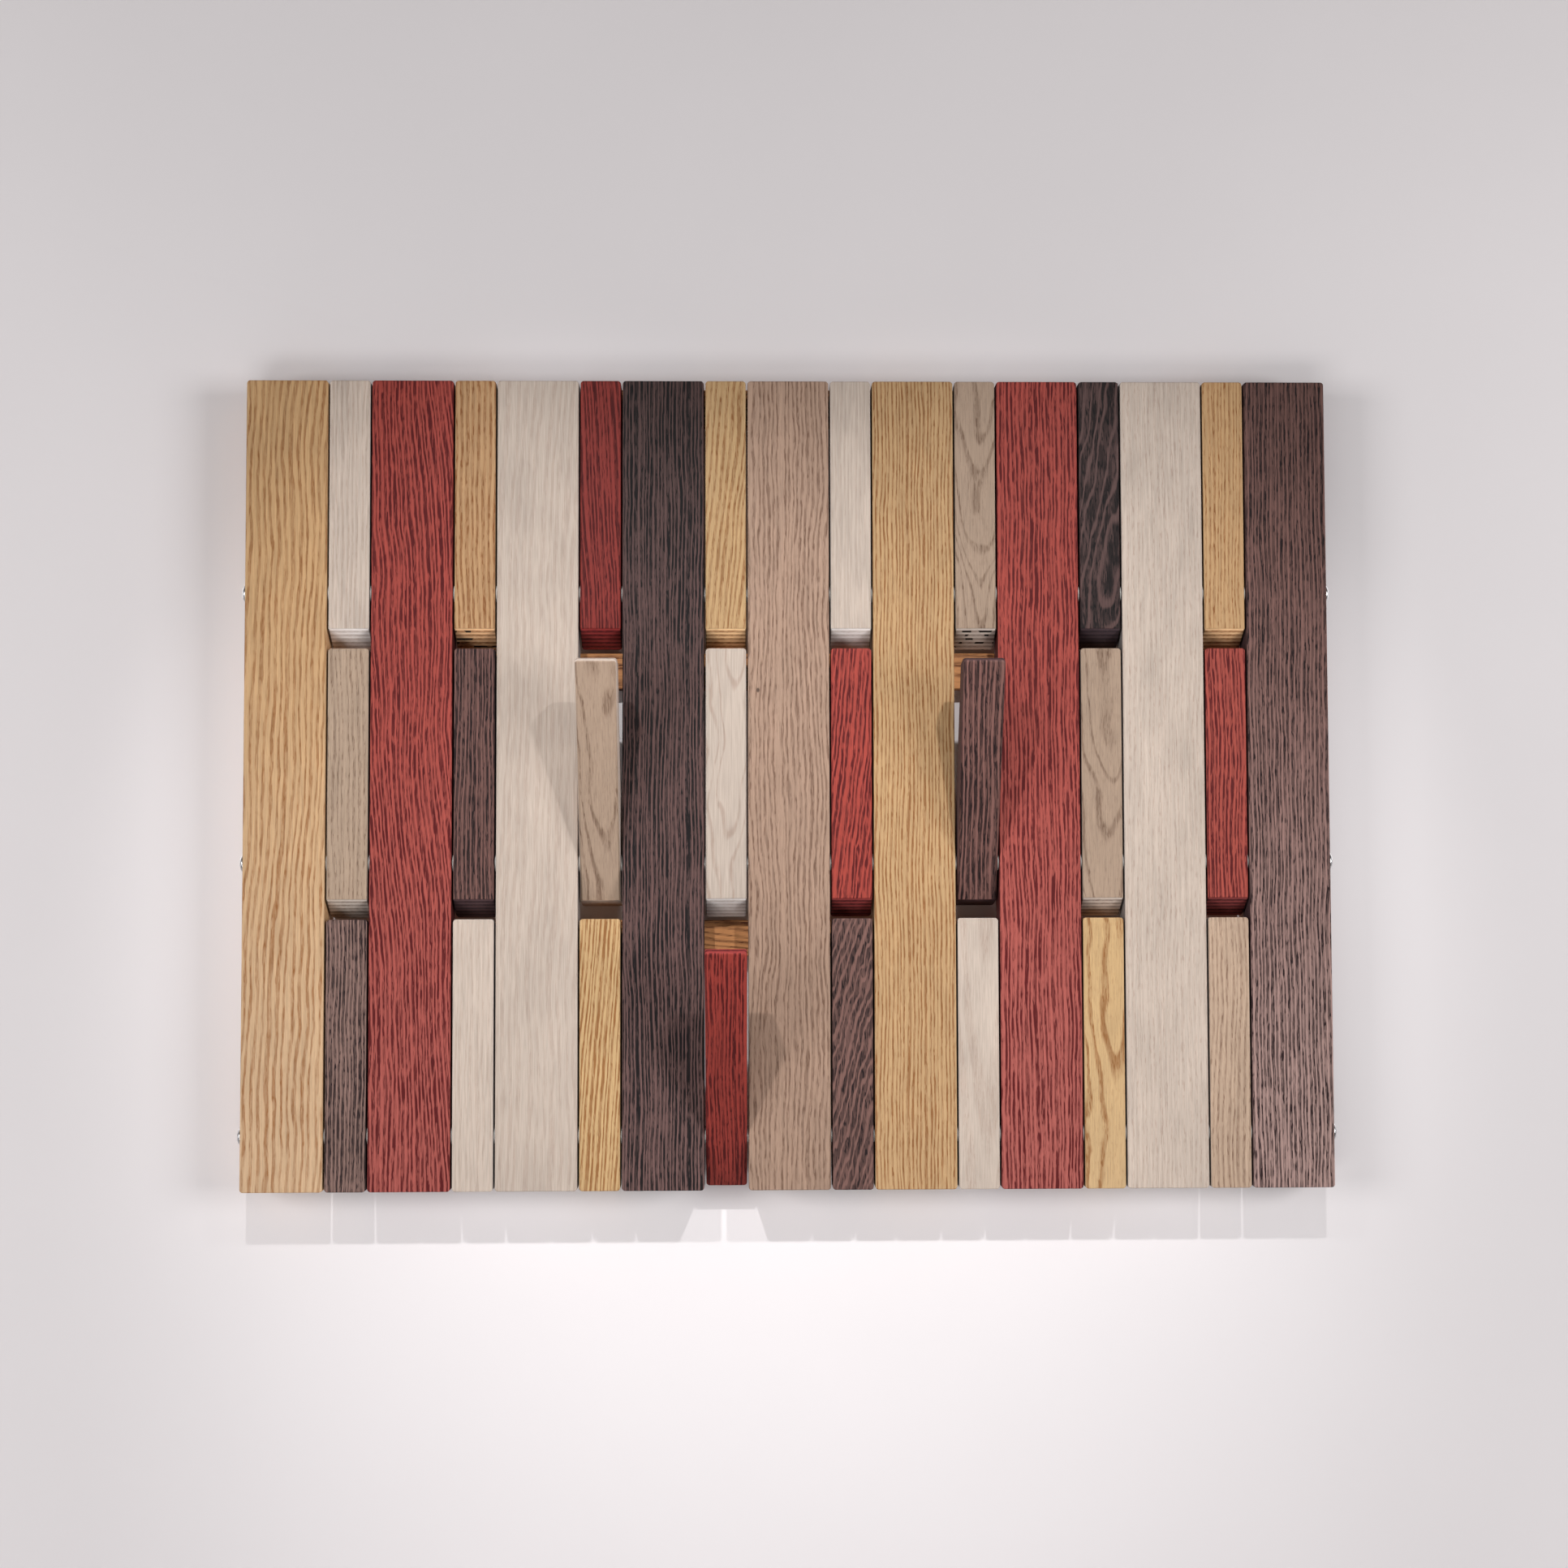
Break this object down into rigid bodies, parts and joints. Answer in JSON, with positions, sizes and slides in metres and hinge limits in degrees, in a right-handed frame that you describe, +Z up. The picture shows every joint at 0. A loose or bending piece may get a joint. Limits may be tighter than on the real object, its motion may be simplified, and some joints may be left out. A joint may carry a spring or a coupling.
{
  "type": "wall coat rack",
  "caption": "Wall coat rack of tall fixed oak-veneered slats with narrow keys between them; each key tips out on an axle to make a hook.",
  "frame": {"origin": "middle of the top rail's back face, on the wall plane", "axes": "+X to the viewer's right along the rails, +Y into the wall, +Z up along the slats"},
  "size_m": [0.605, 0.084, 0.4475],
  "materials": {
    "oak_natural": "open-pored oak veneer, clear matt oil",
    "oak_red": "open-pored oak veneer, red stain, matt",
    "oak_cream": "open-pored oak veneer, whitewashed, matt",
    "oak_espresso": "open-pored oak veneer, near-black brown stain, matt",
    "oak_taupe": "open-pored oak veneer, grey-beige stain, matt",
    "oak_umber": "open-pored oak veneer, dark brown stain, matt",
    "rail_oak": "oak, clear matt oil, grain along the rail",
    "steel": "bright drawn rod and button-head screws",
    "zinc": "zinc-plated pressed steel",
    "nylon": "white nylon washer"
  },
  "bodies": {
    "frame": {"slat_1": "oak_natural", "slat_2": "oak_red", "slat_3": "oak_cream", "slat_4": "oak_espresso", "slat_5": "oak_taupe", "slat_6": "oak_natural", "slat_7": "oak_red", "slat_8": "oak_cream", "slat_9": "oak_umber", "rail_top": "rail_oak", "rail_mid": "rail_oak", "rail_low": "rail_oak", "axle_top": "steel", "axle_mid": "steel", "axle_low": "steel", "axle_screw_top_left": "steel", "axle_screw_top_right": "steel", "axle_screw_mid_left": "steel", "axle_screw_mid_right": "steel", "axle_screw_low_left": "steel", "axle_screw_low_right": "steel", "hanger_plate_left": "zinc", "hanger_plate_right": "zinc", "hanger_screw_left_upper": "zinc", "hanger_screw_left_lower": "zinc", "hanger_screw_right_upper": "zinc", "hanger_screw_right_lower": "zinc"},
    "key_top_1": {"key_top_1": "oak_cream"},
    "key_top_2": {"key_top_2": "oak_natural"},
    "key_top_3": {"key_top_3": "oak_red"},
    "key_top_4": {"key_top_4": "oak_natural"},
    "key_top_5": {"key_top_5": "oak_cream"},
    "key_top_6": {"key_top_6": "oak_taupe"},
    "key_top_7": {"key_top_7": "oak_espresso"},
    "key_top_8": {"key_top_8": "oak_natural"},
    "key_mid_1": {"key_mid_1": "oak_taupe"},
    "key_mid_2": {"key_mid_2": "oak_umber"},
    "key_mid_3": {"key_mid_3": "oak_taupe"},
    "key_mid_4": {"key_mid_4": "oak_cream"},
    "key_mid_5": {"key_mid_5": "oak_red"},
    "key_mid_6": {"key_mid_6": "oak_umber"},
    "key_mid_7": {"key_mid_7": "oak_taupe"},
    "key_mid_8": {"key_mid_8": "oak_red"},
    "key_low_1": {"key_low_1": "oak_umber"},
    "key_low_2": {"key_low_2": "oak_cream"},
    "key_low_3": {"key_low_3": "oak_natural"},
    "key_low_4": {"key_low_4": "oak_red"},
    "key_low_5": {"key_low_5": "oak_umber"},
    "key_low_6": {"key_low_6": "oak_cream"},
    "key_low_7": {"key_low_7": "oak_natural"},
    "key_low_8": {"key_low_8": "oak_taupe"}
  },
  "joints": [
    {"name": "tip_top_1", "type": "hinge", "parent": "frame", "child": "key_top_1", "pos_m": [-0.2429, -0.022, -0.1075], "axis": [1, 0, 0], "range_deg": [0, 22.4]},
    {"name": "tip_top_2", "type": "hinge", "parent": "frame", "child": "key_top_2", "pos_m": [-0.1735, -0.022, -0.1075], "axis": [1, 0, 0], "range_deg": [0, 22.4]},
    {"name": "tip_top_3", "type": "hinge", "parent": "frame", "child": "key_top_3", "pos_m": [-0.1041, -0.022, -0.1075], "axis": [1, 0, 0], "range_deg": [0, 22.4]},
    {"name": "tip_top_4", "type": "hinge", "parent": "frame", "child": "key_top_4", "pos_m": [-0.0347, -0.022, -0.1075], "axis": [1, 0, 0], "range_deg": [0, 22.4]},
    {"name": "tip_top_5", "type": "hinge", "parent": "frame", "child": "key_top_5", "pos_m": [0.0347, -0.022, -0.1075], "axis": [1, 0, 0], "range_deg": [0, 22.4]},
    {"name": "tip_top_6", "type": "hinge", "parent": "frame", "child": "key_top_6", "pos_m": [0.1041, -0.022, -0.1075], "axis": [1, 0, 0], "range_deg": [0, 22.4]},
    {"name": "tip_top_7", "type": "hinge", "parent": "frame", "child": "key_top_7", "pos_m": [0.1735, -0.022, -0.1075], "axis": [1, 0, 0], "range_deg": [0, 22.4]},
    {"name": "tip_top_8", "type": "hinge", "parent": "frame", "child": "key_top_8", "pos_m": [0.2429, -0.022, -0.1075], "axis": [1, 0, 0], "range_deg": [0, 22.4]},
    {"name": "tip_mid_1", "type": "hinge", "parent": "frame", "child": "key_mid_1", "pos_m": [-0.2429, -0.022, -0.257], "axis": [1, 0, 0], "range_deg": [0, 22.4]},
    {"name": "tip_mid_2", "type": "hinge", "parent": "frame", "child": "key_mid_2", "pos_m": [-0.1735, -0.022, -0.257], "axis": [1, 0, 0], "range_deg": [0, 22.4]},
    {"name": "tip_mid_3", "type": "hinge", "parent": "frame", "child": "key_mid_3", "pos_m": [-0.1041, -0.022, -0.257], "axis": [1, 0, 0], "range_deg": [-22.4, 0]},
    {"name": "tip_mid_4", "type": "hinge", "parent": "frame", "child": "key_mid_4", "pos_m": [-0.0347, -0.022, -0.257], "axis": [1, 0, 0], "range_deg": [0, 22.4]},
    {"name": "tip_mid_5", "type": "hinge", "parent": "frame", "child": "key_mid_5", "pos_m": [0.0347, -0.022, -0.257], "axis": [1, 0, 0], "range_deg": [0, 22.4]},
    {"name": "tip_mid_6", "type": "hinge", "parent": "frame", "child": "key_mid_6", "pos_m": [0.1041, -0.022, -0.257], "axis": [1, 0, 0], "range_deg": [-22.4, 0]},
    {"name": "tip_mid_7", "type": "hinge", "parent": "frame", "child": "key_mid_7", "pos_m": [0.1735, -0.022, -0.257], "axis": [1, 0, 0], "range_deg": [0, 22.4]},
    {"name": "tip_mid_8", "type": "hinge", "parent": "frame", "child": "key_mid_8", "pos_m": [0.2429, -0.022, -0.257], "axis": [1, 0, 0], "range_deg": [0, 22.4]},
    {"name": "tip_low_1", "type": "hinge", "parent": "frame", "child": "key_low_1", "pos_m": [-0.2429, -0.022, -0.4065], "axis": [1, 0, 0], "range_deg": [0, 28.6]},
    {"name": "tip_low_2", "type": "hinge", "parent": "frame", "child": "key_low_2", "pos_m": [-0.1735, -0.022, -0.4065], "axis": [1, 0, 0], "range_deg": [0, 28.6]},
    {"name": "tip_low_3", "type": "hinge", "parent": "frame", "child": "key_low_3", "pos_m": [-0.1041, -0.022, -0.4065], "axis": [1, 0, 0], "range_deg": [0, 28.6]},
    {"name": "tip_low_4", "type": "hinge", "parent": "frame", "child": "key_low_4", "pos_m": [-0.0347, -0.022, -0.4065], "axis": [1, 0, 0], "range_deg": [-28.6, 0]},
    {"name": "tip_low_5", "type": "hinge", "parent": "frame", "child": "key_low_5", "pos_m": [0.0347, -0.022, -0.4065], "axis": [1, 0, 0], "range_deg": [0, 28.6]},
    {"name": "tip_low_6", "type": "hinge", "parent": "frame", "child": "key_low_6", "pos_m": [0.1041, -0.022, -0.4065], "axis": [1, 0, 0], "range_deg": [0, 28.6]},
    {"name": "tip_low_7", "type": "hinge", "parent": "frame", "child": "key_low_7", "pos_m": [0.1735, -0.022, -0.4065], "axis": [1, 0, 0], "range_deg": [0, 28.6]},
    {"name": "tip_low_8", "type": "hinge", "parent": "frame", "child": "key_low_8", "pos_m": [0.2429, -0.022, -0.4065], "axis": [1, 0, 0], "range_deg": [0, 28.6]}
  ]
}
